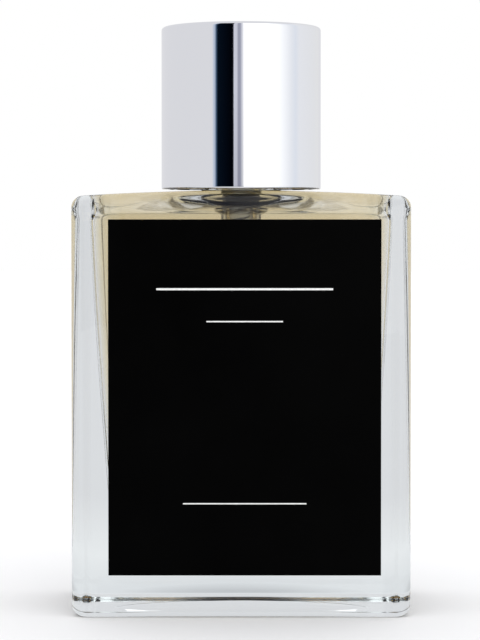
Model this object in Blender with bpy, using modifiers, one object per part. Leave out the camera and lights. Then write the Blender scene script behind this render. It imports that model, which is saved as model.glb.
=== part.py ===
"""Perfume bottle: a thick-walled rectangular glass flacon with a crimped spray pump and a chromed cap.

Metres, +Z up. The origin is on the table under the middle of the bottle, and the labelled front faces -Y.
The pump presses down along Z, its button turns about Z, and the cap pulls off upwards.
"""

import math

import bmesh
import bpy

# Glass body
BODY_WIDTH = 0.0580
BODY_DEPTH = 0.0290
BODY_HEIGHT = 0.0718
CROWN_RISE = 0.0010
CROWN_CUTS = 7
HEEL_RADIUS = 0.0020
FRONT_HEEL_RADIUS = 0.0012
EDGE_RADIUS = 0.0024
SHOULDER_RADIUS = 0.0019
FRONT_SHOULDER_RADIUS = 0.0032
EDGE_SEGMENTS = 4
SHOULDER_TOP = BODY_HEIGHT + CROWN_RISE
BASE_HOLLOW_SIZE = (0.0220, 0.0092, 0.0009)

# Cavity in the glass: widest at its ceiling, drawn in and rounded towards its thick base
CAVITY_FLOOR = 0.0080
CAVITY_CEILING = 0.0700
CAVITY_TOP_HALF_WIDTH = 0.0262
CAVITY_FLOOR_HALF_WIDTH = 0.0220
CAVITY_TOP_HALF_DEPTH = 0.0097
CAVITY_FLOOR_HALF_DEPTH = 0.0092
CAVITY_TAPER = 1.3
CAVITY_CORNER = 0.0060
CAVITY_FLOOR_RADIUS = 0.0080
CAVITY_CEILING_RADIUS = 0.0025
FILL_LEVEL = 0.0707
LIQUID_GAP = 0.0003

# Crimp neck of the glass
NECK_TOP = 0.0792
NECK_RADIUS = 0.0066
LIP_RADIUS = 0.0075
LIP_HEIGHT = 0.0032
LIP_ROUND = 0.0005
BORE_RADIUS = 0.0049
DOME_SIZE = (0.0120, 0.0070, 0.0014)

# Spray pump
FIT_GAP = 0.0001
GASKET_THICKNESS = 0.0010
FLANGE_RADIUS = 0.0071
FLANGE_THICKNESS = 0.0010
HOUSING_RADIUS = 0.0046
HOUSING_STEP_TOP = 0.0702
HOUSING_LOWER_RADIUS = 0.0035
HOUSING_STEP_FLOOR = 0.0606
TAIL_RADIUS = 0.0023
TAIL_FLOOR = 0.0521
CHAMBER_RADIUS = 0.0029
SPRING_SEAT = 0.0623
CAGE_RADIUS = 0.0012
CAGE_FLOOR = 0.0598
PASSAGE_RADIUS = 0.0006
TUBE_SOCKET_TOP = 0.0581
BALL_RADIUS = 0.0009
TURRET_TOP = 0.0832
GUIDE_FLOOR = 0.0776
STEM_RADIUS = 0.0016
STEM_BORE_RADIUS = 0.0006
STEM_FLOOR = 0.0746
STEM_TOP = 0.0906
PISTON_RADIUS = 0.0028
PISTON_FLOOR = 0.0748
PISTON_TOP = 0.0774
SPRING_RADIUS = 0.0021
SPRING_WIRE_RADIUS = 0.00022
SPRING_TURNS = 6
TUBE_RADIUS = 0.0014
TUBE_BORE_RADIUS = 0.0008
TUBE_TOP = 0.0579
TUBE_STRAIGHT_FLOOR = 0.0506
TUBE_FLOOR = 0.0098
TUBE_BEND = 0.0105

# Ferrule crimped over the lip, and the collar that the cap grips
FERRULE_WALL = 0.00035
FERRULE_FLOOR = 0.0754
FERRULE_CRIMP_RADIUS = 0.0070
FERRULE_HOLE_RADIUS = 0.0031
COLLAR_RADIUS = 0.0090
COLLAR_BORE_RADIUS = 0.0081
COLLAR_MOUTH_RADIUS = 0.0072
COLLAR_FLOOR = 0.0732
COLLAR_LEDGE = 0.0828
COLLAR_TOP = 0.0856
COLLAR_ROUND = 0.0004
COLLAR_GROOVE_DEPTH = 0.0003
COLLAR_GROOVE_HEIGHT = 0.0796

# Spray button and its nozzle
BUTTON_RADIUS = 0.0068
BUTTON_FLOOR = 0.0866
BUTTON_TOP = 0.0945
BUTTON_ROUND = 0.0008
BUTTON_DISH = 0.0005
BUTTON_SKIRT = 0.0008
BUTTON_CEILING = 0.0893
BUTTON_HUB_RADIUS = 0.0027
BUTTON_HUB_FLOOR = 0.0879
NOZZLE_HEIGHT = 0.0917
NOZZLE_RADIUS = 0.0018
NOZZLE_BACK = 0.0044
NOZZLE_MOUTH_RADIUS = 0.0008
NOZZLE_HOLE_RADIUS = 0.0002
NOZZLE_RECESS = 0.0002

# Cap
CAP_RADIUS = 0.0140
CAP_FLOOR = 0.0731
CAP_HEIGHT = 0.0284
CAP_TOP = CAP_FLOOR + CAP_HEIGHT
CAP_WALL = 0.0011
CAP_ROUND = 0.0006
CAP_RIM_ROUND = 0.0003
LINER_FLOOR = 0.0740
LINER_WALL = 0.0008
LINER_CEILING = 0.0011
SLEEVE_BORE_RADIUS = 0.00915
SLEEVE_RADIUS = 0.0101
SLEEVE_FLOOR = 0.0746
LINER_RIBS = 8
RIB_THICKNESS = 0.0008

# Label
LABEL_WIDTH = 0.0464
LABEL_HEIGHT = 0.0606
LABEL_THICKNESS = 0.00015
LABEL_CENTRE = (0.0006, 0.03755)
LABEL_GAP = 0.00005

ROUND_STEPS = 48
SMALL_STEPS = 32
PUMP_STEPS = 24
SMALL = 1e-6


def clear_scene():
    for obj in list(bpy.data.objects):
        bpy.data.objects.remove(obj)


def make_collection(name):
    collection = bpy.data.collections.new(name)
    bpy.context.scene.collection.children.link(collection)
    return collection


def make_material(name, colour, roughness, metallic=0.0, transmission=0.0):
    material = bpy.data.materials.new(name)
    material.use_nodes = True
    shader = material.node_tree.nodes["Principled BSDF"]
    shader.inputs["Base Color"].default_value = (*colour, 1.0)
    shader.inputs["Roughness"].default_value = roughness
    shader.inputs["Metallic"].default_value = metallic
    shader.inputs["Transmission Weight"].default_value = transmission
    return material


def place(obj, collection, material=None):
    """Moves the object to its collection; a cutter, which has no material, is left out of the render."""
    for old in list(obj.users_collection):
        old.objects.unlink(obj)
    collection.objects.link(obj)
    if material is None:
        obj.hide_render = True
        obj.display_type = "WIRE"
    else:
        obj.data.materials.append(material)
    return obj


def arc(centre_radius, centre_height, radius, start, end, steps=4):
    """Points of a round edge in a turned profile, from angle start to angle end in degrees."""
    angles = [math.radians(start + (end - start) * i / steps) for i in range(steps + 1)]
    return [(centre_radius + radius * math.cos(a), centre_height + radius * math.sin(a)) for a in angles]


def turned(name, profile, steps, ring=True):
    """A solid turned about Z. The profile runs down its outer side; a ring's returns up its bore."""
    mesh = bpy.data.meshes.new(name)
    links = [(i, i + 1) for i in range(len(profile) - 1)]
    if ring:
        links.append((len(profile) - 1, 0))
    mesh.from_pydata([(r, 0.0, z) for r, z in profile], links, [])
    obj = bpy.data.objects.new(name, mesh)
    bpy.context.scene.collection.objects.link(obj)
    screw = obj.modifiers.new("Turn", "SCREW")
    screw.steps = screw.render_steps = steps
    screw.use_merge_vertices = True
    screw.merge_threshold = 1e-5
    screw.use_smooth_shade = True
    return obj


def boolean(obj, other, operation):
    modifier = obj.modifiers.new(f"{operation.title()} {other.name}", "BOOLEAN")
    modifier.operation = operation
    modifier.object = other


def rod(name, radius, start, end, sides=20):
    """A plain cylinder from start to end along one axis."""
    length = math.dist(start, end)
    middle = [(a + b) / 2 for a, b in zip(start, end)]
    turn = (math.pi / 2, 0, 0) if abs(start[1] - end[1]) > SMALL else (0, 0, 0)
    bpy.ops.mesh.primitive_cylinder_add(
        vertices=sides, radius=radius, depth=length, location=middle, rotation=turn
    )
    obj = bpy.context.object
    obj.name = name
    return obj


def swept(name, points, radius):
    """A round wire or rod along the points, with filled ends."""
    curve = bpy.data.curves.new(name, "CURVE")
    curve.dimensions = "3D"
    curve.bevel_depth = radius
    curve.bevel_resolution = 2
    curve.use_fill_caps = True
    spline = curve.splines.new("POLY")
    spline.points.add(len(points) - 1)
    for point, place_at in zip(spline.points, points):
        point.co = (*place_at, 1.0)
    obj = bpy.data.objects.new(name, curve)
    bpy.context.scene.collection.objects.link(obj)
    return obj


def as_mesh(curve_object):
    """Turns a curve object into a closed mesh, which a Boolean can use."""
    bpy.context.view_layer.update()
    graph = bpy.context.evaluated_depsgraph_get()
    mesh = bpy.data.meshes.new_from_object(curve_object.evaluated_get(graph))
    work = bmesh.new()
    work.from_mesh(mesh)
    bmesh.ops.remove_doubles(work, verts=work.verts, dist=SMALL)
    bmesh.ops.recalc_face_normals(work, faces=work.faces)
    work.to_mesh(mesh)
    work.free()
    name = curve_object.name
    placed = curve_object.matrix_world.copy()
    bpy.data.objects.remove(curve_object)
    obj = bpy.data.objects.new(name, mesh)
    obj.matrix_world = placed
    bpy.context.scene.collection.objects.link(obj)
    return obj


def rounded_ring(half_width, half_depth, corner, height, steps=5):
    """Points of a rectangle with round corners, at one height, anticlockwise seen from above."""
    points = []
    for turn, (sx, sy) in enumerate([(1, 1), (-1, 1), (-1, -1), (1, -1)]):
        for i in range(steps + 1):
            angle = math.radians(90 * (turn + i / steps))
            x = sx * (half_width - corner) + corner * math.cos(angle)
            y = sy * (half_depth - corner) + corner * math.sin(angle)
            points.append((x, y, height))
    return points


def loft(name, rings):
    """A closed solid through the rings, lowest first, with a flat face at each end."""
    count = len(rings[0])
    mesh = bpy.data.meshes.new(name)
    faces = [list(range(count))[::-1]]
    for level in range(len(rings) - 1):
        for i in range(count):
            j = (i + 1) % count
            low, high = level * count, (level + 1) * count
            faces.append([low + i, low + j, high + j, high + i])
    faces.append([(len(rings) - 1) * count + i for i in range(count)])
    mesh.from_pydata([point for ring in rings for point in ring], [], faces)
    obj = bpy.data.objects.new(name, mesh)
    bpy.context.scene.collection.objects.link(obj)
    return obj


def cavity_heights(floor_steps=6, wall_steps=8, ceiling_steps=4):
    """Heights of the cavity's sections: close together where its floor and ceiling curve away."""
    heights = []
    for i in range(floor_steps + 1):
        turn = math.radians(90 * i / floor_steps)
        heights.append(CAVITY_FLOOR + CAVITY_FLOOR_RADIUS * (1 - math.cos(turn)))
    wall_top = CAVITY_CEILING - CAVITY_CEILING_RADIUS
    wall_floor = heights[-1]
    for i in range(1, wall_steps + 1):
        heights.append(wall_floor + (wall_top - wall_floor) * i / wall_steps)
    for i in range(1, ceiling_steps + 1):
        turn = math.radians(90 * i / ceiling_steps)
        heights.append(wall_top + CAVITY_CEILING_RADIUS * math.sin(turn))
    return heights


def drawn_in(depth_into_round, radius):
    """How far a wall has curved in, at a depth into the quarter round that ends it."""
    if depth_into_round <= 0:
        return 0.0
    return radius - math.sqrt(max(radius**2 - min(depth_into_round, radius) ** 2, 0.0))


def cavity_ring(height, inset=0.0):
    """The cavity's section at a height: it narrows downwards, and curves in at its floor and ceiling."""
    share = (CAVITY_CEILING - height) / (CAVITY_CEILING - CAVITY_FLOOR)
    taper = max(share, 0.0) ** CAVITY_TAPER
    half_width = CAVITY_TOP_HALF_WIDTH - (CAVITY_TOP_HALF_WIDTH - CAVITY_FLOOR_HALF_WIDTH) * taper
    half_depth = CAVITY_TOP_HALF_DEPTH - (CAVITY_TOP_HALF_DEPTH - CAVITY_FLOOR_HALF_DEPTH) * taper
    curve = drawn_in(CAVITY_FLOOR + CAVITY_FLOOR_RADIUS - height, CAVITY_FLOOR_RADIUS)
    curve += drawn_in(height - (CAVITY_CEILING - CAVITY_CEILING_RADIUS), CAVITY_CEILING_RADIUS)
    corner = CAVITY_CORNER - (CAVITY_CORNER - SMALL) * curve / CAVITY_FLOOR_RADIUS
    half_depth -= curve + inset
    corner = min(corner, 0.9 * half_depth)
    return rounded_ring(half_width - curve - inset, half_depth, corner, height)


def glass_box(name):
    """The rectangular body: a box whose top rises to the middle, with each edge rounded by its own radius."""
    bpy.ops.mesh.primitive_cube_add(size=1, location=(0, 0, BODY_HEIGHT / 2))
    obj = bpy.context.object
    obj.name = name
    obj.scale = (BODY_WIDTH, BODY_DEPTH, BODY_HEIGHT)
    bpy.ops.object.transform_apply(location=True, scale=True)
    work = bmesh.new()
    work.from_mesh(obj.data)
    along_x = [e for e in work.edges if abs(e.verts[0].co.x - e.verts[1].co.x) > SMALL]
    bmesh.ops.subdivide_edges(work, edges=along_x, cuts=CROWN_CUTS, use_grid_fill=True)
    weight = work.edges.layers.float.new("bevel_weight_edge")
    for edge in work.edges:
        on_side = all(abs(abs(v.co.x) - BODY_WIDTH / 2) < SMALL for v in edge.verts)
        on_front = all(abs(abs(v.co.y) - BODY_DEPTH / 2) < SMALL for v in edge.verts)
        at_base = all(v.co.z < SMALL for v in edge.verts)
        at_top = all(v.co.z > BODY_HEIGHT - SMALL for v in edge.verts)
        if on_side and on_front:
            edge[weight] = EDGE_RADIUS / FRONT_SHOULDER_RADIUS
        elif at_base and on_front:
            edge[weight] = FRONT_HEEL_RADIUS / FRONT_SHOULDER_RADIUS
        elif at_base and on_side:
            edge[weight] = HEEL_RADIUS / FRONT_SHOULDER_RADIUS
        elif at_top and on_front:
            edge[weight] = 1.0
        elif at_top and on_side:
            edge[weight] = SHOULDER_RADIUS / FRONT_SHOULDER_RADIUS
    for vertex in work.verts:
        if vertex.co.z > BODY_HEIGHT - SMALL:
            vertex.co.z += CROWN_RISE * (1 - (vertex.co.x / (BODY_WIDTH / 2)) ** 2)
    work.to_mesh(obj.data)
    work.free()
    bevel = obj.modifiers.new("Round edges", "BEVEL")
    bevel.limit_method = "WEIGHT"
    bevel.width = FRONT_SHOULDER_RADIUS
    bevel.segments = EDGE_SEGMENTS
    return obj


def oval_cutter(name, half_sizes, height, cutters):
    """A flattened ball centred on the bottle's axis."""
    bpy.ops.mesh.primitive_uv_sphere_add(segments=32, ring_count=12, location=(0, 0, height))
    cutter = bpy.context.object
    cutter.name = name
    cutter.scale = half_sizes
    return place(cutter, cutters)


def make_bottle(parts, cutters, glass):
    """The glass: body and crimp neck in one piece, its cavity with a domed ceiling, and a hollow base."""
    bottle = place(glass_box("glass_bottle"), parts, glass)
    lip_floor = NECK_TOP - LIP_HEIGHT
    neck_profile = [
        (0.0, NECK_TOP),
        *arc(LIP_RADIUS - LIP_ROUND, NECK_TOP - LIP_ROUND, LIP_ROUND, 90, 0),
        *arc(LIP_RADIUS - LIP_ROUND, lip_floor + LIP_ROUND, LIP_ROUND, 0, -90),
        (NECK_RADIUS, lip_floor - LIP_ROUND),
        (NECK_RADIUS, SHOULDER_TOP - 0.0015),
        (0.0, SHOULDER_TOP - 0.0015),
    ]
    neck = place(turned("neck_blank", neck_profile, SMALL_STEPS, ring=False), cutters)
    boolean(bottle, neck, "UNION")
    cavity = place(loft("cavity_cutter", [cavity_ring(z) for z in cavity_heights()]), cutters)
    boolean(bottle, cavity, "DIFFERENCE")
    bore_profile = [
        (0.0, NECK_TOP + 0.002),
        (BORE_RADIUS, NECK_TOP + 0.002),
        (BORE_RADIUS, CAVITY_CEILING - 0.001),
        (0.0, CAVITY_CEILING - 0.001),
    ]
    bore = place(turned("bore_cutter", bore_profile, SMALL_STEPS, ring=False), cutters)
    boolean(bottle, bore, "DIFFERENCE")
    dome = oval_cutter("dome_cutter", DOME_SIZE, CAVITY_CEILING, cutters)
    boolean(bottle, dome, "DIFFERENCE")
    hollow = oval_cutter("base_hollow_cutter", BASE_HOLLOW_SIZE, 0.0, cutters)
    boolean(bottle, hollow, "DIFFERENCE")


def housing_outline(spread=0.0, floor=TAIL_FLOOR):
    """The outside of the pump's housing below its flange, from the top down, made wider by spread."""
    return [
        (HOUSING_RADIUS + spread, HOUSING_STEP_TOP - spread),
        (HOUSING_LOWER_RADIUS + spread, HOUSING_STEP_TOP - 0.001 - spread),
        (HOUSING_LOWER_RADIUS + spread, HOUSING_STEP_FLOOR - spread),
        (TAIL_RADIUS + spread, HOUSING_STEP_FLOOR - 0.0015 - spread),
        (TAIL_RADIUS + spread, floor - spread),
    ]


def tube_path(start, end, count=14):
    """The dip tube's line: straight down from the pump, then bending gently to one side."""
    points = []
    for i in range(count + 1):
        z = start + (end - start) * i / count
        share = max(TUBE_STRAIGHT_FLOOR - z, 0.0) / (TUBE_STRAIGHT_FLOOR - TUBE_FLOOR)
        points.append((TUBE_BEND * share**2, 0.0, z))
    return points


def make_perfume(parts, cutters, liquid):
    """The filling of 50 ml, clear of the glass, the pump and the dip tube."""
    heights = cavity_heights(floor_steps=5, wall_steps=7)
    heights[0] = CAVITY_FLOOR + LIQUID_GAP
    rings = [cavity_ring(z, LIQUID_GAP) for z in heights]
    shoulder = CAVITY_CEILING - LIQUID_GAP
    rings[-1] = [(x, y, shoulder) for x, y, z in rings[-1]]
    perfume = place(loft("perfume", rings), parts, liquid)
    dome_size = (DOME_SIZE[0] - LIQUID_GAP, DOME_SIZE[1] - LIQUID_GAP, DOME_SIZE[2])
    boolean(perfume, oval_cutter("filled_dome", dome_size, shoulder, cutters), "UNION")
    width, above = DOME_SIZE[0], FILL_LEVEL + 0.002
    air = [(0.0, above), (width, above), (width, FILL_LEVEL), (0.0, FILL_LEVEL)]
    boolean(perfume, place(turned("air_cutter", air, SMALL_STEPS, ring=False), cutters), "DIFFERENCE")
    outline = housing_outline(LIQUID_GAP)
    top = FILL_LEVEL + 0.004
    profile = [(0.0, top), (outline[0][0], top), *outline, (0.0, outline[-1][1])]
    room = place(turned("pump_room_cutter", profile, PUMP_STEPS, ring=False), cutters)
    boolean(perfume, room, "DIFFERENCE")
    path = tube_path(TUBE_TOP, TUBE_FLOOR - LIQUID_GAP)
    tube_room = as_mesh(swept("tube_room_cutter", path, TUBE_RADIUS + LIQUID_GAP))
    boolean(perfume, place(tube_room, cutters), "DIFFERENCE")


def make_label(parts, black):
    bpy.ops.mesh.primitive_cube_add(size=1)
    label = bpy.context.object
    label.name = "front_label"
    label.scale = (LABEL_WIDTH, LABEL_THICKNESS, LABEL_HEIGHT)
    front = -BODY_DEPTH / 2 - LABEL_GAP - LABEL_THICKNESS / 2
    label.location = (LABEL_CENTRE[0], front, LABEL_CENTRE[1])
    place(label, parts, black)


def make_pump(parts, plastic, rubber, steel, white):
    """The gasket on the lip, the pump's housing with its stem guide, and what works inside it."""
    gasket_floor = NECK_TOP + FIT_GAP
    gasket_top = gasket_floor + GASKET_THICKNESS
    gasket = [
        (FLANGE_RADIUS, gasket_top),
        (FLANGE_RADIUS, gasket_floor),
        (BORE_RADIUS, gasket_floor),
        (BORE_RADIUS, gasket_top),
    ]
    place(turned("neck_gasket", gasket, PUMP_STEPS), parts, rubber)
    flange_floor = gasket_top + FIT_GAP
    flange_top = flange_floor + FLANGE_THICKNESS
    housing = [
        (FLANGE_RADIUS, flange_top),
        (FLANGE_RADIUS, flange_floor),
        (HOUSING_RADIUS, flange_floor),
        *housing_outline(),
        (TUBE_RADIUS + FIT_GAP / 2, TAIL_FLOOR),
        (TUBE_RADIUS + FIT_GAP / 2, TUBE_SOCKET_TOP),
        (PASSAGE_RADIUS, TUBE_SOCKET_TOP),
        (PASSAGE_RADIUS, CAGE_FLOOR - 0.0006),
        (CAGE_RADIUS, CAGE_FLOOR),
        (CAGE_RADIUS, SPRING_SEAT),
        (CHAMBER_RADIUS, SPRING_SEAT),
        (CHAMBER_RADIUS, flange_top),
    ]
    place(turned("pump_housing", housing, PUMP_STEPS), parts, plastic)
    guide_radius = CHAMBER_RADIUS - FIT_GAP
    guide = [
        (guide_radius, TURRET_TOP),
        (guide_radius, GUIDE_FLOOR),
        (STEM_RADIUS + FIT_GAP, GUIDE_FLOOR),
        (STEM_RADIUS + FIT_GAP, TURRET_TOP),
    ]
    place(turned("stem_guide", guide, PUMP_STEPS), parts, white)
    stem = [
        (STEM_RADIUS, STEM_TOP),
        (STEM_RADIUS, STEM_FLOOR),
        (STEM_BORE_RADIUS, STEM_FLOOR),
        (STEM_BORE_RADIUS, STEM_TOP),
    ]
    place(turned("pump_stem", stem, PUMP_STEPS), parts, white)
    waist = PISTON_RADIUS - 0.0003
    middle = (PISTON_FLOOR + PISTON_TOP) / 2
    piston = [
        (PISTON_RADIUS, PISTON_TOP),
        (waist, middle + 0.0005),
        (waist, middle - 0.0005),
        (PISTON_RADIUS, PISTON_FLOOR),
        (STEM_RADIUS + FIT_GAP / 2, PISTON_FLOOR),
        (STEM_RADIUS + FIT_GAP / 2, PISTON_TOP),
    ]
    place(turned("piston", piston, PUMP_STEPS), parts, plastic)
    bpy.ops.mesh.primitive_uv_sphere_add(
        segments=16, ring_count=8, radius=BALL_RADIUS, location=(0, 0, CAGE_FLOOR + BALL_RADIUS + FIT_GAP)
    )
    ball = bpy.context.object
    ball.name = "check_ball"
    place(ball, parts, steel)
    place(swept("return_spring", spring_path(), SPRING_WIRE_RADIUS), parts, steel)


def spring_path(points_each_turn=12):
    """A helix between the chamber's seat and the piston, with a closed turn at each end."""
    low = SPRING_SEAT + SPRING_WIRE_RADIUS + FIT_GAP
    high = PISTON_FLOOR - SPRING_WIRE_RADIUS - FIT_GAP
    closed_rise = 2.4 * SPRING_WIRE_RADIUS
    count = SPRING_TURNS * points_each_turn
    points = []
    for i in range(count + 1):
        turn = i / points_each_turn
        middle_share = min(max((turn - 1) / (SPRING_TURNS - 2), 0.0), 1.0)
        end_share = min(turn, 1.0) + min(max(turn - (SPRING_TURNS - 1), 0.0), 1.0)
        z = low + end_share * closed_rise + middle_share * (high - low - 2 * closed_rise)
        angle = 2 * math.pi * turn
        points.append((SPRING_RADIUS * math.cos(angle), SPRING_RADIUS * math.sin(angle), z))
    return points


def make_dip_tube(parts, cutters, plastic):
    tube = as_mesh(swept("dip_tube", tube_path(TUBE_TOP, TUBE_FLOOR), TUBE_RADIUS))
    place(tube, parts, plastic)
    bore_path = tube_path(TUBE_TOP + 0.001, TUBE_FLOOR - 0.001)
    bore = as_mesh(swept("tube_bore_cutter", bore_path, TUBE_BORE_RADIUS))
    boolean(tube, place(bore, cutters), "DIFFERENCE")


def make_ferrule_and_collar(parts, aluminium):
    """The ferrule hooks under the glass lip and holds the pump down; the collar covers it."""
    bore = LIP_RADIUS + FIT_GAP
    outside = bore + FERRULE_WALL
    plate_floor = NECK_TOP + GASKET_THICKNESS + FLANGE_THICKNESS + 3 * FIT_GAP
    plate_top = plate_floor + FERRULE_WALL
    lip_floor = NECK_TOP - LIP_HEIGHT
    ferrule = [
        (FERRULE_HOLE_RADIUS, plate_top),
        (outside - FERRULE_WALL, plate_top),
        (outside, plate_top - FERRULE_WALL),
        (outside, lip_floor),
        (FERRULE_CRIMP_RADIUS + FERRULE_WALL, FERRULE_FLOOR),
        (FERRULE_CRIMP_RADIUS, FERRULE_FLOOR),
        (FERRULE_CRIMP_RADIUS, FERRULE_FLOOR + FERRULE_WALL),
        (bore, lip_floor + FERRULE_WALL),
        (bore, plate_floor),
        (FERRULE_HOLE_RADIUS, plate_floor),
    ]
    place(turned("crimp_ferrule", ferrule, SMALL_STEPS), parts, aluminium)
    groove_half = 2 * COLLAR_GROOVE_DEPTH
    collar = [
        *arc(COLLAR_RADIUS - COLLAR_ROUND, COLLAR_TOP - COLLAR_ROUND, COLLAR_ROUND, 90, 0, steps=3),
        (COLLAR_RADIUS, COLLAR_GROOVE_HEIGHT + groove_half),
        (COLLAR_RADIUS - COLLAR_GROOVE_DEPTH, COLLAR_GROOVE_HEIGHT),
        (COLLAR_RADIUS, COLLAR_GROOVE_HEIGHT - groove_half),
        (COLLAR_RADIUS, COLLAR_FLOOR),
        (COLLAR_BORE_RADIUS, COLLAR_FLOOR),
        (COLLAR_BORE_RADIUS, COLLAR_LEDGE),
        (COLLAR_MOUTH_RADIUS, COLLAR_LEDGE),
        (COLLAR_MOUTH_RADIUS, COLLAR_TOP),
    ]
    place(turned("collar", collar, SMALL_STEPS), parts, aluminium)


def make_button(parts, cutters, aluminium, white):
    """The spray button with its stem socket and side nozzle, and the turned nozzle insert."""
    skirt_bore = BUTTON_RADIUS - BUTTON_SKIRT
    profile = [
        (0.0, BUTTON_TOP - BUTTON_DISH),
        (0.45 * BUTTON_RADIUS, BUTTON_TOP - 0.7 * BUTTON_DISH),
        (0.75 * BUTTON_RADIUS, BUTTON_TOP - 0.15 * BUTTON_DISH),
        *arc(BUTTON_RADIUS - BUTTON_ROUND, BUTTON_TOP - BUTTON_ROUND, BUTTON_ROUND, 90, 0),
        (BUTTON_RADIUS, BUTTON_FLOOR),
        (skirt_bore, BUTTON_FLOOR),
        (skirt_bore, BUTTON_CEILING),
        (BUTTON_HUB_RADIUS, BUTTON_CEILING),
        (BUTTON_HUB_RADIUS, BUTTON_HUB_FLOOR),
        (STEM_RADIUS + FIT_GAP / 2, BUTTON_HUB_FLOOR),
        (STEM_RADIUS + FIT_GAP / 2, STEM_TOP + FIT_GAP),
        (0.0, STEM_TOP + FIT_GAP),
    ]
    button = place(turned("spray_button", profile, ROUND_STEPS, ring=False), parts, aluminium)
    seat = rod(
        "nozzle_seat_cutter",
        NOZZLE_RADIUS + FIT_GAP,
        (0, -BUTTON_RADIUS - 0.002, NOZZLE_HEIGHT),
        (0, -NOZZLE_BACK, NOZZLE_HEIGHT),
        sides=PUMP_STEPS,
    )
    boolean(button, place(seat, cutters), "DIFFERENCE")
    feed_top = (0, 0, NOZZLE_HEIGHT + PASSAGE_RADIUS / 2)
    riser = rod("riser_cutter", PASSAGE_RADIUS, (0, 0, STEM_TOP - 0.001), feed_top, sides=12)
    boolean(button, place(riser, cutters), "DIFFERENCE")
    feed_end = (0, -NOZZLE_BACK - 0.001, NOZZLE_HEIGHT)
    feed = rod("feed_cutter", 0.8 * PASSAGE_RADIUS, (0, 0, NOZZLE_HEIGHT), feed_end, sides=12)
    boolean(button, place(feed, cutters), "DIFFERENCE")

    face = BUTTON_RADIUS - NOZZLE_RECESS
    nozzle_profile = [
        *arc(NOZZLE_RADIUS - 0.0002, face - 0.0002, 0.0002, 90, 0, steps=2),
        (NOZZLE_RADIUS, NOZZLE_BACK + FIT_GAP),
        (NOZZLE_HOLE_RADIUS, NOZZLE_BACK + FIT_GAP),
        (NOZZLE_HOLE_RADIUS, face - 0.0005),
        (NOZZLE_MOUTH_RADIUS, face),
    ]
    nozzle = turned("nozzle_insert", nozzle_profile, PUMP_STEPS)
    nozzle.rotation_euler = (math.pi / 2, 0, 0)
    nozzle.location = (0, 0, NOZZLE_HEIGHT)
    place(nozzle, parts, white)


def make_cap(parts, cutters, chrome, white):
    """The bright shell, and the ribbed liner inside it whose sleeve grips the collar."""
    bore = CAP_RADIUS - CAP_WALL
    shell_profile = [
        (0.0, CAP_TOP),
        *arc(CAP_RADIUS - CAP_ROUND, CAP_TOP - CAP_ROUND, CAP_ROUND, 90, 0),
        *arc(CAP_RADIUS - CAP_RIM_ROUND, CAP_FLOOR + CAP_RIM_ROUND, CAP_RIM_ROUND, 0, -90, steps=2),
        (bore, CAP_FLOOR),
        (bore, CAP_TOP - CAP_WALL),
        (0.0, CAP_TOP - CAP_WALL),
    ]
    place(turned("cap_shell", shell_profile, ROUND_STEPS, ring=False), parts, chrome)
    liner_radius = bore - FIT_GAP
    liner_top = CAP_TOP - CAP_WALL - FIT_GAP
    ceiling = liner_top - LINER_CEILING
    liner_profile = [
        (0.0, liner_top),
        (liner_radius, liner_top),
        (liner_radius, LINER_FLOOR),
        (liner_radius - LINER_WALL, LINER_FLOOR),
        (liner_radius - LINER_WALL, ceiling),
        (SLEEVE_RADIUS, ceiling),
        (SLEEVE_RADIUS, SLEEVE_FLOOR),
        (SLEEVE_BORE_RADIUS + 0.0003, SLEEVE_FLOOR),
        (SLEEVE_BORE_RADIUS, SLEEVE_FLOOR + 0.0006),
        (SLEEVE_BORE_RADIUS, ceiling),
        (0.0, ceiling),
    ]
    liner = place(turned("cap_liner", liner_profile, SMALL_STEPS, ring=False), parts, white)
    rib_start = (SLEEVE_RADIUS + SLEEVE_BORE_RADIUS) / 2
    rib_end = liner_radius - LINER_WALL / 2
    rib_floor = SLEEVE_FLOOR + 0.001
    rib_top = ceiling + LINER_CEILING / 2
    for i in range(LINER_RIBS):
        angle = 2 * math.pi * (i + 0.5) / LINER_RIBS
        bpy.ops.mesh.primitive_cube_add(size=1)
        rib = bpy.context.object
        rib.name = f"liner_rib_{i}"
        rib.scale = (rib_end - rib_start, RIB_THICKNESS, rib_top - rib_floor)
        middle = (rib_start + rib_end) / 2
        rib.location = (middle * math.cos(angle), middle * math.sin(angle), (rib_floor + rib_top) / 2)
        rib.rotation_euler = (0, 0, angle)
        place(rib, cutters)
        boolean(liner, rib, "UNION")


def main():
    clear_scene()
    parts = make_collection("Perfume bottle")
    cutters = make_collection("Cutters")
    glass = make_material("Flint glass", (0.93, 0.95, 0.94), 0.02, transmission=1.0)
    liquid = make_material("Straw perfume", (0.88, 0.80, 0.58), 0.02, transmission=1.0)
    chrome = make_material("Chrome plate", (0.86, 0.86, 0.88), 0.05, metallic=1.0)
    aluminium = make_material("Anodised aluminium", (0.76, 0.76, 0.78), 0.22, metallic=1.0)
    steel = make_material("Spring steel", (0.62, 0.62, 0.63), 0.30, metallic=1.0)
    black = make_material("Black label film", (0.006, 0.006, 0.007), 0.45)
    white = make_material("White polypropylene", (0.80, 0.80, 0.78), 0.40)
    clear_plastic = make_material("Natural polyethylene", (0.78, 0.80, 0.80), 0.30)
    rubber = make_material("Grey gasket rubber", (0.30, 0.30, 0.31), 0.70)

    make_bottle(parts, cutters, glass)
    make_perfume(parts, cutters, liquid)
    make_label(parts, black)
    make_pump(parts, clear_plastic, rubber, steel, white)
    make_dip_tube(parts, cutters, clear_plastic)
    make_ferrule_and_collar(parts, aluminium)
    make_button(parts, cutters, aluminium, white)
    make_cap(parts, cutters, chrome, white)


main()
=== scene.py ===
"""Perfume bottle in a plain white studio: thick flint glass, straw-coloured perfume, a black film label,
a crimped spray pump and a chrome-plated cap. Metres, +Z up, the label faces -Y.
"""

import math

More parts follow.
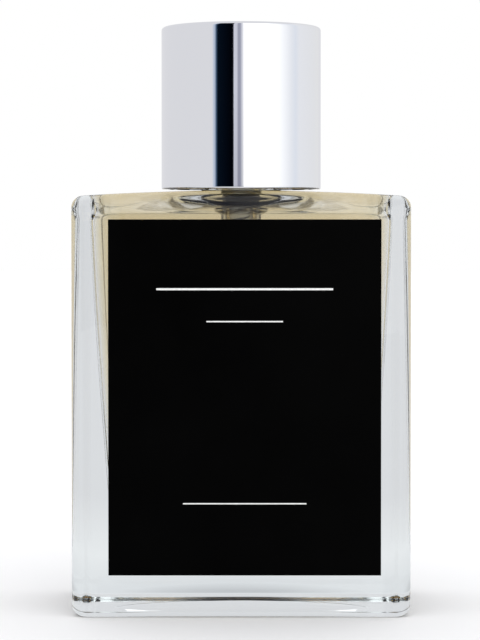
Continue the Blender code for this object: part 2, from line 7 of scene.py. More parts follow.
import bmesh
import bpy
import numpy as np
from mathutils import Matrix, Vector

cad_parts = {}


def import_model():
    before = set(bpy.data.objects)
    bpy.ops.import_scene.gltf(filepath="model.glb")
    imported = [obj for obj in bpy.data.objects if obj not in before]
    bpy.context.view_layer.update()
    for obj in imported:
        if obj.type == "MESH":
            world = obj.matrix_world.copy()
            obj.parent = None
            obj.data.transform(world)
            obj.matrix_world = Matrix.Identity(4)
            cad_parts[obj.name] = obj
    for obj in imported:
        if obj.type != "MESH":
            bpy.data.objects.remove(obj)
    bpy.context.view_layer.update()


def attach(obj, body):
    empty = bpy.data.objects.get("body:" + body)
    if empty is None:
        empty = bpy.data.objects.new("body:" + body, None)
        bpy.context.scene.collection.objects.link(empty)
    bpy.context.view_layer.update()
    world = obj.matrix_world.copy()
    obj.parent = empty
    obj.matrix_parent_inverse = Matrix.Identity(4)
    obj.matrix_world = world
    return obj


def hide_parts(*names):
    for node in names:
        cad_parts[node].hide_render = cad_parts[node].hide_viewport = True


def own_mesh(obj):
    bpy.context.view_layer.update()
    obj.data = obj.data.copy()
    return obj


# Glass body
HALF_WIDTH = 0.0290
HALF_DEPTH = 0.0145
BODY_HEIGHT = 0.0718
CROWN_RISE = 0.0010
HEEL_RADIUS = 0.0020
FRONT_HEEL_RADIUS = 0.0012
EDGE_RADIUS = 0.0024
SHOULDER_RADIUS = 0.0019
FRONT_SHOULDER_RADIUS = 0.0032
HEEL_CORNER = 0.0010
TOP_CORNER = 0.0005
BASE_HOLLOW = (0.0220, 0.0092, 0.0009)
HOLLOW_CURVE = 0.6
RIM_START = 1.04

# Cavity
CAVITY_FLOOR = 0.0080
CAVITY_CEILING = 0.0700
CAVITY_TOP_HALF_WIDTH = 0.0262
CAVITY_FLOOR_HALF_WIDTH = 0.0220
CAVITY_TOP_HALF_DEPTH = 0.0097
CAVITY_FLOOR_HALF_DEPTH = 0.0092
CAVITY_TAPER = 1.3
CAVITY_CORNER = 0.0060
CAVITY_LEAST_CORNER = 0.0005
CAVITY_FLOOR_RADIUS = 0.0080
CAVITY_CEILING_RADIUS = 0.0025
FILL_LEVEL = 0.0707
MENISCUS_RISE = 0.0003
MENISCUS_SHARE = 0.08
WETTING = 0.00003
TAIL_OVERLAP = 0.0004

# Crimp neck and bore
NECK_TOP = 0.0792
NECK_RADIUS = 0.0066
NECK_ROOT_ROUND = 0.0009
LIP_RADIUS = 0.0075
LIP_HEIGHT = 0.0032
LIP_ROUND = 0.0005
BORE_RADIUS = 0.0049
BORE_END_ROUND = 0.0006
BORE_MARGINS = (0.0030, 0.0010)
DOME_HALF_WIDTH = 0.0120
DOME_HALF_DEPTH = 0.0070
DOME_TOP = 0.0714

# How softly each made edge is broken
FINE_EDGE = 0.0001
MOULDED_EDGE = 0.00012
SOFT_EDGE = 0.00015
HOUSING_EDGE = 0.0002
COLLAR_EDGE = 0.0003
LABEL_EDGE = 0.00003

# Spray pump
FIT_GAP = 0.0001
GASKET_FLOOR = NECK_TOP + FIT_GAP
GASKET_TOP = GASKET_FLOOR + 0.0010
FLANGE_RADIUS = 0.0071
FLANGE_FLOOR = GASKET_TOP + FIT_GAP
FLANGE_TOP = FLANGE_FLOOR + 0.0010
HOUSING_RADIUS = 0.0046
HOUSING_STEP_TOP = 0.0702
HOUSING_LOWER_RADIUS = 0.0035
HOUSING_STEP_FLOOR = 0.0606
HOUSING_TAPER = 0.0010
TAIL_TAPER = 0.0015
TAIL_RADIUS = 0.0023
TAIL_FLOOR = 0.0521
CHAMBER_RADIUS = 0.0029
SPRING_SEAT = 0.0623
CAGE_RADIUS = 0.0012
CAGE_FLOOR = 0.0598
CAGE_TAPER = 0.0006
PASSAGE_RADIUS = 0.0006
TUBE_SOCKET_TOP = 0.0581
BALL_RADIUS = 0.0009
TURRET_TOP = 0.0832
GUIDE_FLOOR = 0.0776
STEM_RADIUS = 0.0016
STEM_BORE_RADIUS = 0.0006
STEM_FLOOR = 0.0746
STEM_TOP = 0.0906
PISTON_RADIUS = 0.0028
PISTON_FLOOR = 0.0748
PISTON_TOP = 0.0774
PISTON_WAIST_DEPTH = 0.0003
PISTON_WAIST_HALF = 0.0005
SPRING_RADIUS = 0.0021
SPRING_WIRE_RADIUS = 0.00022
SPRING_TURNS = 6
TUBE_RADIUS = 0.0014
TUBE_BORE_RADIUS = 0.0008
TUBE_TOP = 0.0579
TUBE_STRAIGHT_FLOOR = 0.0506
TUBE_FLOOR = 0.0098
TUBE_BEND = 0.0105

# Ferrule, collar, button and nozzle
FERRULE_WALL = 0.00035
FERRULE_FLOOR = 0.0754
FERRULE_CRIMP_RADIUS = 0.0070
FERRULE_HOLE_RADIUS = 0.0031
COLLAR_RADIUS = 0.0090
COLLAR_BORE_RADIUS = 0.0081
COLLAR_MOUTH_RADIUS = 0.0072
COLLAR_FLOOR = 0.0732
COLLAR_LEDGE = 0.0828
COLLAR_TOP = 0.0856
COLLAR_GROOVE_DEPTH = 0.0003
COLLAR_GROOVE_HEIGHT = 0.0796
BUTTON_RADIUS = 0.0068
BUTTON_FLOOR = 0.0866
BUTTON_TOP = 0.0945
BUTTON_ROUND = 0.0008
BUTTON_DISH = 0.0005
BUTTON_DISH_CURVE = ((0.0, 1.0), (0.25, 0.92), (0.45, 0.7), (0.62, 0.4), (0.75, 0.15))
BUTTON_SKIRT = 0.0008
BUTTON_CEILING = 0.0893
BUTTON_HUB_RADIUS = 0.0027
BUTTON_HUB_FLOOR = 0.0879
NOZZLE_HEIGHT = 0.0917
NOZZLE_RADIUS = 0.0018
NOZZLE_BACK = 0.0044
NOZZLE_MOUTH_RADIUS = 0.0008
NOZZLE_HOLE_RADIUS = 0.0002
NOZZLE_RECESS = 0.0002
NOZZLE_MOUTH_DEPTH = 0.0005
NOZZLE_CUT_REACH = 0.002

# Cap
CAP_RADIUS = 0.0140
CAP_FLOOR = 0.0731
CAP_TOP = 0.1015
CAP_WALL = 0.0011
CAP_ROUND = 0.0006
CAP_RIM_ROUND = 0.0003
CAP_TOP_MARGIN = 0.0003
CAP_RIM_MARGIN = 0.0002
CAP_BORE_CHAMFER = 0.0001
LINER_FLOOR = 0.0740
LINER_WALL = 0.0008
LINER_CEILING = 0.0011
SLEEVE_BORE_RADIUS = 0.00915
SLEEVE_RADIUS = 0.0101
SLEEVE_FLOOR = 0.0746
SLEEVE_LEAD_IN = (0.0003, 0.0006)
LINER_RIBS = 8
RIB_THICKNESS = 0.0008
RIB_LIFT = 0.001

# Label
LABEL_WIDTH = 0.0464
LABEL_HEIGHT = 0.0606
LABEL_THICKNESS = 0.00015
LABEL_CENTRE = (0.0006, 0.03755)
LABEL_GAP = 0.00005
LABEL_INSET = 0.00001
PRINT_DEPTH = 0.00001
RULES = ((0.0560, 0.0300, 0.00035), (0.0505, 0.0130, 0.00022), (0.0195, 0.0210, 0.00022))
RULE_THICKNESS = 0.00002

# Camera: the photograph's 480 by 640 frame on the long side of a 36 mm sensor
EYE_DISTANCE = 0.3867
EYE_HEIGHT = 0.0681
EYE_OFFSET = -0.0002
LENS_MM = 123.4
TILT_DOWN = 1.33
FRAME_SHIFT = -0.08

# Studio: cards round the bottle, coloured by azimuth in degrees, 0 on the camera's side and + to its right
STUDIO_RADIUS = 2.4
CARD_RADIUS = 0.9
CARD_FOOT = 0.002
CARD_TOP = 1.1
FALL_HEIGHT = 0.14
ROOM_COLOUR = "#E4E4E7"
ROOM_STRENGTH = 1.02
SHADE_REACH = 0.2
SHADE_DEPTH = 0.00001
# Painted shadow round the bottle's foot, on the glowing floor that the glass shows: colours by share of
# SHADE_REACH out from the middle
FLOOR_PAINTED_SHADOW = ((0.085, "#B4B6BA"), (0.16, "#E6E8EB"), (0.35, "#F2F3F5"), (0.8, ROOM_COLOUR))
PANEL_STOPS = (
    (3.5, "#FFFFFF"),
    (42, "#FFFFFF"),
    (60, "#ECEDEE"),
    (76, "#D6D8DC"),
    (84, "#CDD1D8"),
    (92, "#D4D5D8"),
    (150, "#CFCFCF"),
)
GREY_STOPS = (
    (-10.5, "#DADBE6"),
    (-6, "#D4D5E0"),
    (-4, "#A2A4B4"),
    (-1, "#A6A8B8"),
    (1, "#DCDDE6"),
    (3.5, "#FFFFFF"),
)
FLAG_STOPS = (
    (-41, "#D8DDE6"),
    (-38, "#B9C6DA"),
    (-35.5, "#3E5670"),
    (-33.5, "#06101C"),
    (-12, "#010206"),
    (-10.5, "#4A4B55"),
)


def make_object(name, mesh):
    obj = bpy.data.objects.new(name, mesh)
    bpy.context.scene.collection.objects.link(obj)
    return obj


def smooth(mesh, sharp_angle=None):
    """Shades the mesh smooth, with edges left sharp from sharp_angle in degrees."""
    mesh.shade_smooth()
    if sharp_angle is not None:
        mesh.set_sharp_from_angle(angle=math.radians(sharp_angle))


def baked(obj):
    """The object with its modifiers, or its curve, made into a plain mesh under the same name."""
    bpy.context.view_layer.update()
    graph = bpy.context.evaluated_depsgraph_get()
    mesh = bpy.data.meshes.new_from_object(obj.evaluated_get(graph))
    name, placed = obj.name, obj.matrix_world.copy()
    bpy.data.objects.remove(obj)
    mesh.name = name
    result = make_object(name, mesh)
    result.matrix_world = placed
    return result


def joined_rings(name, rings, ends=True):
    """A surface through rings of points, outwards and up from the base, closed by a point at each end."""
    count = len(rings[0])
    points = [point for ring in rings for point in ring]
    faces = []
    for level in range(len(rings) - 1):
        for i in range(count):
            j = (i + 1) % count
            low, high = level * count, (level + 1) * count
            faces.append([low + i, low + j, high + j, high + i])
    if ends:
        for ring, flip in ((0, True), (len(rings) - 1, False)):
            start = ring * count
            centre = len(points)
            points.append(np.mean(rings[ring], axis=0))
            for i in range(count):
                j = (i + 1) % count
                face = [start + i, start + j, centre]
                faces.append(face[::-1] if flip else face)
    mesh = bpy.data.meshes.new(name)
    mesh.from_pydata([tuple(map(float, point)) for point in points], [], faces)
    mesh.validate()
    return make_object(name, mesh)


def softened(profile, radius, steps=3, ring=True):
    """The profile with each corner rounded, as a tool or a mould leaves it."""
    points = [Vector((r, z)) for r, z in profile]
    count = len(points)
    result = []
    for i, corner in enumerate(points):
        if not ring and i in (0, count - 1):
            result.append(tuple(corner))
            continue
        before, after = points[i - 1], points[(i + 1) % count]
        back, ahead = before - corner, after - corner
        reach = min(radius, 0.4 * back.length, 0.4 * ahead.length)
        if back.angle(ahead, math.pi) > math.radians(165):
            result.append(tuple(corner))
            continue
        start = corner + back.normalized() * reach
        end = corner + ahead.normalized() * reach
        for k in range(steps + 1):
            t = k / steps
            result.append(tuple((1 - t) ** 2 * start + 2 * t * (1 - t) * corner + t**2 * end))
    return result


def turned(name, profile, steps=128, ring=True, sharp_angle=32):
    """A solid turned about Z. The profile runs down its outer side; a ring's returns up its bore."""
    mesh = bpy.data.meshes.new(name)
    links = [(i, i + 1) for i in range(len(profile) - 1)]
    if ring:
        links.append((len(profile) - 1, 0))
    mesh.from_pydata([(r, 0.0, z) for r, z in profile], links, [])
    obj = make_object(name, mesh)
    screw = obj.modifiers.new("Turn", "SCREW")
    screw.steps = screw.render_steps = steps
    screw.use_merge_vertices = True
    screw.merge_threshold = 1e-6
    obj = baked(obj)
    smooth(obj.data, sharp_angle)
    return obj


def turned_piece(name, profile, edge, material, steps=128):
    """A turned ring with its edges softened, in its material."""
    piece = turned(name, softened(profile, edge), steps=steps)
    piece.data.materials.append(material)
    return piece


def arc(centre_radius, centre_height, radius, start, end, steps=8):
    """Points of a round edge in a turned profile, from angle start to angle end in degrees."""
    angles = [math.radians(start + (end - start) * i / steps) for i in range(steps + 1)]
    return [(centre_radius + radius * math.cos(a), centre_height + radius * math.sin(a)) for a in angles]


def boolean(obj, other, operation):
    """Cuts or joins the other object, which is used up."""
    modifier = obj.modifiers.new(operation, "BOOLEAN")
    modifier.operation = operation
    modifier.object = other
    result = baked(obj)
    bpy.data.objects.remove(other)
    smooth(result.data, 32)
    return result


def srgb(code):
    """A hex colour as the linear values that the nodes take."""
    parts = [int(code[i : i + 2], 16) / 255 for i in (1, 3, 5)]
    return (*[c / 12.92 if c <= 0.04045 else ((c + 0.055) / 1.055) ** 2.4 for c in parts], 1.0)


def node(tree, kind, inputs=None, **settings):
    """Adds a node with its settings. An input's value is a number, a colour or another node's output."""
    made = tree.nodes.new("ShaderNode" + kind)
    for name, value in settings.items():
        setattr(made, name, value)
    for name, value in (inputs or {}).items():
        if isinstance(value, bpy.types.NodeSocket):
            tree.links.new(value, made.inputs[name])
        else:
            made.inputs[name].default_value = value
    return made


def ramp(tree, factor, stops):
    """A colour ramp through (position, colour) stops."""
    made = node(tree, "ValToRGB", {"Fac": factor})
    elements = made.color_ramp.elements
    while len(elements) < len(stops):
        elements.new(0.5)
    for element, (position, colour) in zip(elements, stops):
        element.position = position
        element.color = colour
    return made.outputs["Color"]


def noise(tree, place, scale, detail, roughness=0.5):
    """Fine, irregular variation through a piece."""
    values = {"Vector": place, "Scale": scale, "Detail": detail, "Roughness": roughness}
    return node(tree, "TexNoise", values).outputs["Fac"]


def tones(tree, factor, first, second, start=0.3):
    """Two close tones of a colour, mixed by the factor."""
    return ramp(tree, factor, [(start, srgb(first)), (0.7, srgb(second))])


def graded(tree, value, span, result):
    """The value, with its span stretched over the result's."""
    limits = dict(zip(("From Min", "From Max", "To Min", "To Max"), (*span, *result)))
    return node(tree, "MapRange", {"Value": value, **limits}).outputs["Result"]


def relief(tree, height, strength, distance, **under):
    """A bump with its distance in metres, over another if its Normal is given."""
    values = {"Strength": strength, "Distance": distance, "Height": height, **under}
    return node(tree, "Bump", values).outputs["Normal"]


def new_material(name):
    """An empty node material with its output, and the object's own coordinates in metres."""
    material = bpy.data.materials.new(name)
    material.use_nodes = True
    tree = material.node_tree
    tree.nodes.clear()
    output = node(tree, "OutputMaterial")
    place = node(tree, "TexCoord").outputs["Object"]
    return material, tree, output, place


def surface(tree, output, values):
    shader = node(tree, "BsdfPrincipled", values)
    tree.links.new(shader.outputs["BSDF"], output.inputs["Surface"])


def absorption(tree, output, code, density):
    """What the body of a clear piece takes out of the light, by its depth."""
    body = node(tree, "VolumeAbsorption", {"Color": srgb(code), "Density": density})
    tree.links.new(body.outputs["Volume"], output.inputs["Volume"])


def flint_glass():
    """Flint glass, blown in an iron mould and fire-polished.

    The clearest of bottle glasses: a thick piece turns a cool grey, and its faces ripple very slightly
    where the mould chilled them, which bends what is seen through them.
    """
    material, tree, output, place = new_material("flint_glass")
    ripple = noise(tree, place, 70.0, 1.0, 0.4)
    chill = noise(tree, place, 260.0, 2.0)
    broad = relief(tree, ripple, 1.0, 0.00005)
    fine = relief(tree, chill, 1.0, 0.000005, Normal=broad)
    values = {
        "Base Color": srgb("#FCFDFD"),
        "Roughness": 0.0,
        "IOR": 1.52,
        "Transmission Weight": 1.0,
        "Normal": fine,
    }
    surface(tree, output, values)
    absorption(tree, output, "#C4D2D2", 8.0)
    return material


def straw_perfume():
    """Perfume oils in alcohol, poured: a thin, very clear liquid whose straw tint deepens with its depth."""
    material, tree, output, place = new_material("straw_perfume")
    values = {
        "Base Color": srgb("#FFFFFF"),
        "Roughness": 0.0,
        "IOR": 1.36,
        "Specular Tint": srgb("#202020"),
        "Transmission Weight": 1.0,
    }
    surface(tree, output, values)
    absorption(tree, output, "#EFDA88", 64.0)
    return material


def black_label_film():
    """White polypropylene label film, printed solid black on its face and laminated satin.

    Deep black with a soft, low sheen. The film takes a faint orange peel from its glue, and its reverse,
    seen through the bottle, is the white of the film.
    """
    material, tree, output, place = new_material("black_label_film")
    peel = noise(tree, place, 900.0, 2.0)
    handling = noise(tree, place, 60.0, 3.0, 0.6)
    ink = tones(tree, handling, "#010101", "#030303")
    film = tones(tree, handling, "#E2E2DE", "#ECECE8")
    depth = node(tree, "SeparateXYZ", {"Vector": place}).outputs["Y"]
    reverse = node(tree, "Math", {0: depth, 1: -HALF_DEPTH - PRINT_DEPTH}, operation="GREATER_THAN")
    sides = node(tree, "MixRGB", {"Fac": reverse.outputs["Value"], "Color1": ink, "Color2": film})
    values = {
        "Base Color": sides.outputs["Color"],
        "Roughness": graded(tree, handling, (0.35, 0.65), (0.42, 0.50)),
        "IOR": 1.49,
        "Specular IOR Level": 0.02,
        "Normal": relief(tree, peel, 0.3, 0.00001),
    }
    surface(tree, output, values)
    return material


def white_label_ink():
    """Screen-printed white ink: opaque, flat and very slightly raised."""
    material, tree, output, place = new_material("white_label_ink")
    grain = noise(tree, place, 2500.0, 2.0)
    values = {
        "Base Color": tones(tree, grain, "#E4E4E2", "#F4F4F2"),
        "Roughness": 0.55,
        "Normal": relief(tree, grain, 0.3, 0.00001),
    }
    surface(tree, output, values)
    return material


def chrome_plate():
    """Chromium plated on polished zinc: a cool mirror with the faintest haze from wiping."""
    material, tree, output, place = new_material("chrome_plate")
    stretched = node(tree, "Mapping", {"Vector": place, "Scale": (1.0, 1.0, 0.06)})
    wiping = noise(tree, stretched.outputs["Vector"], 1400.0, 4.0, 0.6)
    haze = noise(tree, place, 90.0, 3.0)
    both = node(tree, "Math", {0: wiping, 1: haze}, operation="MULTIPLY")
    values = {
        "Base Color": srgb("#EDEEF1"),
        "Metallic": 1.0,
        "Roughness": graded(tree, both.outputs["Value"], (0.15, 0.4), (0.025, 0.055)),
        "Normal": relief(tree, wiping, 0.03, 0.00001),
    }
    surface(tree, output, values)
    return material


def bright_anodised_aluminium():
    """Aluminium, drawn and turned, then bright anodised: pale and silky, with the turning lines round it."""
    material, tree, output, place = new_material("bright_anodised_aluminium")
    rounds = node(tree, "Mapping", {"Vector": place, "Scale": (40.0, 40.0, 9000.0)})
    lines = noise(tree, rounds.outputs["Vector"], 1.0, 2.0)
    values = {
        "Base Color": srgb("#DEDEE1"),
        "Metallic": 1.0,
        "Roughness": graded(tree, lines, (0.3, 0.7), (0.16, 0.28)),
        "Normal": relief(tree, lines, 0.2, 0.00001),
    }
    surface(tree, output, values)
    return material


def spring_steel():
    """Stainless spring wire, drawn: grey metal with fine die lines."""
    material, tree, output, place = new_material("spring_steel")
    drawn = noise(tree, place, 4000.0, 2.0)
    values = {
        "Base Color": srgb("#CFCFD1"),
        "Metallic": 1.0,
        "Roughness": graded(tree, drawn, (0.3, 0.7), (0.22, 0.36)),
    }
    surface(tree, output, values)
    return material


def white_polypropylene():
    """Polypropylene, injection moulded in white: a satin skin with the mould's fine spark texture."""
    material, tree, output, place = new_material("white_polypropylene")
    spark = noise(tree, place, 5000.0, 2.0, 0.6)
    cloud = noise(tree, place, 200.0, 2.0)
    values = {
        "Base Color": tones(tree, cloud, "#E9E9E5", "#F1F1EE"),
        "Roughness": 0.42,
        "IOR": 1.49,
        "Normal": relief(tree, spark, 0.4, 0.00002),
    }
    surface(tree, output, values)
    return material


def natural_polyethylene():
    """Polyethylene, moulded or extruded without pigment: milky, so light gets in and comes out softened.

    It stands in the perfume, which is nearly as dense to light, so its surface hardly bends what passes.
    """
    material, tree, output, place = new_material("natural_polyethylene")
    milk = noise(tree, place, 350.0, 3.0)
    draw = noise(tree, place, 3000.0, 2.0)
    values = {
        "Base Color": tones(tree, milk, "#F0F1EE", "#FAFAF7"),
        "Roughness": 0.16,
        "IOR": 1.36,
        "Transmission Weight": 0.82,
        "Normal": relief(tree, draw, 0.3, 0.00001),
    }
    surface(tree, output, values)
    return material


def gasket_rubber():
    """Moulded elastomer: matt mid grey, with a dusting of talc."""
    material, tree, output, place = new_material("gasket_rubber")
    talc = noise(tree, place, 1500.0, 4.0, 0.7)
    values = {
        "Base Color": tones(tree, talc, "#8A8A8C", "#A2A2A3", start=0.35),
        "Roughness": 0.75,
        "Normal": relief(tree, talc, 0.4, 0.00003),
    }
    surface(tree, output, values)
    return material


def ray_angles():
    """Directions round the bottle in radians, closest together where its corners and its cavity's are."""
    quarter = np.concatenate(
        [
            np.linspace(0, 8, 7, endpoint=False),
            np.linspace(8, 21, 14, endpoint=False),
            np.linspace(21, 30, 25, endpoint=False),
            np.linspace(30, 44, 10, endpoint=False),
            np.linspace(44, 90, 14, endpoint=False),
        ]
    )
    mirrored = 180 - quarter[1:][::-1]
    half = np.concatenate([quarter, [90.0], mirrored])
    return np.radians(np.concatenate([half, half + 180]))


ANGLES = ray_angles()


def box_ring(half_width, half_depth, corner):
    """Where the rays meet a rectangle with round corners: x and y of each."""
    c, s = np.abs(np.cos(ANGLES)), np.abs(np.sin(ANGLES))
    c, s = np.maximum(c, 1e-12), np.maximum(s, 1e-12)
    inner_x, inner_y = half_width - corner, half_depth - corner
    side = half_width / c
    face = half_depth / s
    along = c * inner_x + s * inner_y
    inside = np.maximum(along**2 - inner_x**2 - inner_y**2 + corner**2, 0)
    round_corner = along + np.sqrt(inside)
    reach = np.where(side * s <= inner_y, side, np.where(face * c <= inner_x, face, round_corner))
    return reach * np.cos(ANGLES), reach * np.sin(ANGLES)


def oval_ring(half_width, half_depth):
    """Where the rays meet an ellipse or a circle: x and y of each."""
    reach = 1 / np.sqrt((np.cos(ANGLES) / half_width) ** 2 + (np.sin(ANGLES) / half_depth) ** 2)
    return reach * np.cos(ANGLES), reach * np.sin(ANGLES)


def at_height(ring, height):
    """The ring's points at one height, or each at its own."""
    x, y = ring
    return np.stack([x, y, np.broadcast_to(height, x.shape)], axis=1)


def between(first, second, share):
    """The ring that lies at a share of the way along each ray."""
    return tuple((1 - share) * a + share * b for a, b in zip(first, second))


def spread_between(first, second, height, shares=(0.15, 0.35, 0.6, 0.85, 0.97)):
    """Level rings from one outline on towards another."""
    return [at_height(between(first, second, share), height) for share in shares]


def shoulder_height(x):
    """The top of the body, which rises a little towards the middle of the bottle's width."""
    return BODY_HEIGHT + CROWN_RISE * (1 - (x / HALF_WIDTH) ** 2)


def quarter_turns(steps):
    return [math.radians(90.0 * i / steps) for i in range(steps + 1)]


def base_rings():
    """The underside: a shallow oval hollow, and the flat rim round it that the bottle stands on."""
    wide, deep, high = BASE_HOLLOW
    rings = []
    for share in (0.02, 0.1, 0.2, 0.35, 0.5, 0.65, 0.78, 0.88, 0.94, 0.98, 1.0, 1.02):
        inside = max(1 - share**2, 0.0)
        rings.append(at_height(oval_ring(wide * share, deep * share), high * inside**HOLLOW_CURVE))
    rim = oval_ring(wide * RIM_START, deep * RIM_START)
    heel = box_ring(HALF_WIDTH - HEEL_RADIUS, HALF_DEPTH - FRONT_HEEL_RADIUS, HEEL_CORNER)
    return rings + spread_between(rim, heel, 0.0, (0.0, 0.5, 0.9))


def body_rings():
    """The outside of the body: heel, walls and shoulder. The front and back are rounded unlike the sides."""
    wall = box_ring(HALF_WIDTH, HALF_DEPTH, EDGE_RADIUS)
    past_edge_x = np.abs(wall[0]) - HALF_WIDTH + EDGE_RADIUS
    past_edge_y = np.abs(wall[1]) - HALF_DEPTH + EDGE_RADIUS
    facing = np.clip(np.arctan2(past_edge_y, past_edge_x) / (math.pi / 2), 0, 1)
    facing = facing**2 * (3 - 2 * facing)
    heel = HEEL_RADIUS + (FRONT_HEEL_RADIUS - HEEL_RADIUS) * facing
    rings = []
    for turn in quarter_turns(14):
        inset = HEEL_RADIUS * (1 - math.sin(turn))
        inset_front = FRONT_HEEL_RADIUS * (1 - math.sin(turn))
        corner = HEEL_CORNER + (EDGE_RADIUS - HEEL_CORNER) * math.sin(turn)
        ring = box_ring(HALF_WIDTH - inset, HALF_DEPTH - inset_front, corner)
        rings.append(at_height(ring, heel * (1 - math.cos(turn))))
    shoulder = SHOULDER_RADIUS + (FRONT_SHOULDER_RADIUS - SHOULDER_RADIUS) * facing
    wall_top = shoulder_height(wall[0]) - shoulder
    for share in (0.004, 0.03, 0.1, 0.2, 0.3, 0.4, 0.5, 0.6, 0.7, 0.8, 0.9, 0.97, 0.996):
        rings.append(at_height(wall, heel + share * (wall_top - heel)))
    for turn in quarter_turns(12):
        inset = SHOULDER_RADIUS * (1 - math.cos(turn))
        inset_front = FRONT_SHOULDER_RADIUS * (1 - math.cos(turn))
        corner = max(EDGE_RADIUS - inset, TOP_CORNER)
        ring = box_ring(HALF_WIDTH - inset, HALF_DEPTH - inset_front, corner)
        height = shoulder_height(ring[0]) - shoulder * (1 - math.sin(turn))
        rings.append(at_height(ring, height))
    return rings


def neck_rings():
    """The top face, the crimp neck and its lip, down to the bore's lower end."""
    edge = box_ring(HALF_WIDTH - SHOULDER_RADIUS, HALF_DEPTH - FRONT_SHOULDER_RADIUS, TOP_CORNER)
    foot_radius = NECK_RADIUS + NECK_ROOT_ROUND
    foot = oval_ring(foot_radius, foot_radius)
    rings = []
    for share in (0.02, 0.1, 0.25, 0.4, 0.55, 0.7, 0.82, 0.92, 0.98):
        ring = between(edge, foot, share)
        rings.append(at_height(ring, shoulder_height(ring[0])))
    for turn in quarter_turns(8):
        radius = foot_radius - NECK_ROOT_ROUND * math.sin(turn)
        ring = oval_ring(radius, radius)
        height = shoulder_height(ring[0]) + NECK_ROOT_ROUND * (1 - math.cos(turn))
        rings.append(at_height(ring, height))
    lip_floor = NECK_TOP - LIP_HEIGHT
    profile = [
        (NECK_RADIUS, lip_floor - LIP_ROUND),
        *arc(LIP_RADIUS - LIP_ROUND, lip_floor + LIP_ROUND, LIP_ROUND, -90, 0),
        *arc(LIP_RADIUS - LIP_ROUND, NECK_TOP - LIP_ROUND, LIP_ROUND, 0, 90),
        *arc(BORE_RADIUS + LIP_ROUND, NECK_TOP - LIP_ROUND, LIP_ROUND, 90, 180),
        (BORE_RADIUS, NECK_TOP - 2 * LIP_ROUND),
        *((BORE_RADIUS, DOME_TOP + above) for above in BORE_MARGINS),
    ]
    rings += [at_height(oval_ring(r, r), z) for r, z in profile]
    return rings


def dome_ring(turn, spread=0.0):
    """The dome's section at a turn of its quarter curve: 0 at the bore, a right angle at the ceiling."""
    start = BORE_RADIUS + BORE_END_ROUND
    wide = start + (DOME_HALF_WIDTH - start) * math.sin(turn)
    deep = start + (DOME_HALF_DEPTH - start) * math.sin(turn)
    height = CAVITY_CEILING + (DOME_TOP - CAVITY_CEILING) * math.cos(turn)
    return at_height(oval_ring(wide + spread, deep + spread), height + spread)


def dome_rings():
    """Where the bore opens into the cavity: a low oval dome in the ceiling."""
    rings = []
    for turn in quarter_turns(5):
        radius = BORE_RADIUS + BORE_END_ROUND * (1 - math.cos(turn))
        height = DOME_TOP + BORE_END_ROUND * (1 - math.sin(turn))
        rings.append(at_height(oval_ring(radius, radius), height))
    rings += [dome_ring(turn) for turn in quarter_turns(12)[1:]]
    return rings


def drawn_in(depth_into_round, radius):
    """How far a wall has curved in, at a depth into the quarter round that ends it."""
    if depth_into_round <= 0:
        return 0.0
    return radius - math.sqrt(max(radius**2 - min(depth_into_round, radius) ** 2, 0.0))


def cavity_section(height, spread=0.0):
    """The cavity's outline at a height: it narrows downwards, and curves in at its floor and ceiling."""
    share = (CAVITY_CEILING - height) / (CAVITY_CEILING - CAVITY_FLOOR)
    taper = min(max(share, 0.0), 1.0) ** CAVITY_TAPER
    half_width = CAVITY_TOP_HALF_WIDTH - (CAVITY_TOP_HALF_WIDTH - CAVITY_FLOOR_HALF_WIDTH) * taper
    half_depth = CAVITY_TOP_HALF_DEPTH - (CAVITY_TOP_HALF_DEPTH - CAVITY_FLOOR_HALF_DEPTH) * taper
    curve = drawn_in(CAVITY_FLOOR + CAVITY_FLOOR_RADIUS - height, CAVITY_FLOOR_RADIUS)
    curve += drawn_in(height - (CAVITY_CEILING - CAVITY_CEILING_RADIUS), CAVITY_CEILING_RADIUS)
    corner = CAVITY_CORNER * (1 - curve / CAVITY_FLOOR_RADIUS) + CAVITY_LEAST_CORNER
    half_depth += spread - curve
    half_width += spread - curve
    return box_ring(half_width, half_depth, min(corner, 0.9 * half_depth))


def cavity_heights():
    """Heights of the cavity's sections from its ceiling down, close together where it curves."""
    ceiling_start = CAVITY_CEILING - CAVITY_CEILING_RADIUS
    floor_end = CAVITY_FLOOR + CAVITY_FLOOR_RADIUS
    heights = [ceiling_start + CAVITY_CEILING_RADIUS * math.cos(t) for t in quarter_turns(12)]
    heights += list(np.linspace(ceiling_start, floor_end, 22)[1:])
    heights += [floor_end - CAVITY_FLOOR_RADIUS * math.sin(t) for t in quarter_turns(24)[1:]]
    return heights


def cavity_rings(heights, spread=0.0):
    """The cavity's wall at these heights, and its floor in to the middle."""
    rings = [at_height(cavity_section(z, spread), z) for z in heights]
    x, y = cavity_section(CAVITY_FLOOR, spread)
    for share in (0.97, 0.85, 0.65, 0.45, 0.25, 0.1, 0.02):
        rings.append(at_height((x * share, y * share), CAVITY_FLOOR - spread))
    return rings


def make_glass(material):
    """The whole glass as one skin: under the base, up the outside, over the lip and down the inside."""
    rings = base_rings() + body_rings() + neck_rings() + dome_rings()
    dome_foot = oval_ring(DOME_HALF_WIDTH, DOME_HALF_DEPTH)
    rings += spread_between(dome_foot, cavity_section(CAVITY_CEILING), CAVITY_CEILING)
    rings += cavity_rings(cavity_heights())
    glass = joined_rings("glass_body", rings)
    smooth(glass.data)
    glass.data.materials.append(material)
    return glass


